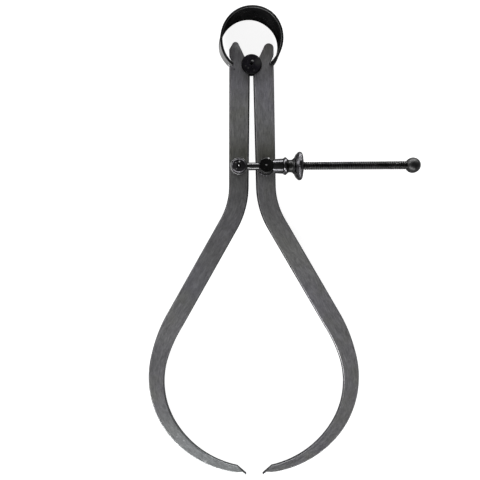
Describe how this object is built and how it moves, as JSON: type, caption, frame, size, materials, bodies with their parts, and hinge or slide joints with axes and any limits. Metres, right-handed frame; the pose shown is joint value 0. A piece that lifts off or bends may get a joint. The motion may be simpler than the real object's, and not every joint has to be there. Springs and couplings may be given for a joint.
{
  "type": "outside caliper",
  "caption": "Spring outside caliper: bowed flat steel legs that rock on a fulcrum stud under a bow spring, set by a screw with a round adjusting nut and a ball end.",
  "frame": {"origin": "on the fulcrum axis, at the rear flat face of the fulcrum stud", "axes": "+Z along the fulcrum axis to the front, where the screw is; +Y from the measuring tips to the bow spring; +X along the adjusting screw to its ball"},
  "size_m": [0.1321, 0.2268, 0.0193],
  "materials": {
    "ground_steel": "satin, ground lengthwise",
    "blackened_steel": "black oxide, semi-gloss"
  },
  "bodies": {
    "fulcrum": {"fulcrum_stud": "blackened_steel"},
    "right_arm": {"right_leg": "ground_steel", "swivel_ring": "blackened_steel"},
    "left_arm": {"left_leg": "ground_steel", "left_pivot_stud": "blackened_steel", "left_collar": "blackened_steel", "left_washer": "blackened_steel"},
    "bow": {"bow_spring": "blackened_steel"},
    "screw": {"adjusting_screw": "blackened_steel", "ball_end": "blackened_steel"},
    "swivel": {"swivel_post": "blackened_steel", "right_washer": "blackened_steel", "nut_sleeve": "blackened_steel"},
    "nut": {"adjusting_nut": "blackened_steel"}
  },
  "joints": [
    {"name": "legs_opening", "type": "hinge", "parent": "fulcrum", "child": "right_arm", "pos_m": [0, 0, 0.00325], "axis": [0, 0, 1], "range_deg": [-1.1, 28.8]},
    {"name": "left_leg_opening", "type": "hinge", "parent": "fulcrum", "child": "left_arm", "pos_m": [0, 0, 0.00325], "axis": [0, 0, 1], "range_deg": [-28.8, 1.1]},
    {"name": "spring_rise", "type": "slide", "parent": "fulcrum", "child": "bow", "axis": [0, 1, 0], "range_m": [-0.0002, 0.0047], "deforming": ["bow_spring"]},
    {"name": "screw_swivel", "type": "hinge", "parent": "left_arm", "child": "screw", "pos_m": [-0.0065, -0.05, 0.00865], "axis": [0, 0, 1], "range_deg": [-1.1, 28.8]},
    {"name": "post_swivel", "type": "hinge", "parent": "right_arm", "child": "swivel", "pos_m": [0.0065, -0.05, 0.00865], "axis": [0, 0, 1], "range_deg": [-28.8, 1.1]},
    {"name": "nut_spin", "type": "hinge", "parent": "swivel", "child": "nut", "pos_m": [0.0165, -0.05, 0.00865], "axis": [1, 0, 0], "range_deg": [-610, 15850]}
  ],
  "couplings": [
    {"joint": "left_leg_opening", "follows": "legs_opening", "ratio": -1},
    {"joint": "spring_rise", "follows": "legs_opening", "m_per_rad": 0.0092},
    {"joint": "screw_swivel", "follows": "legs_opening", "ratio": 1},
    {"joint": "post_swivel", "follows": "legs_opening", "ratio": -1},
    {"joint": "nut_spin", "follows": "legs_opening", "ratio": 550}
  ]
}
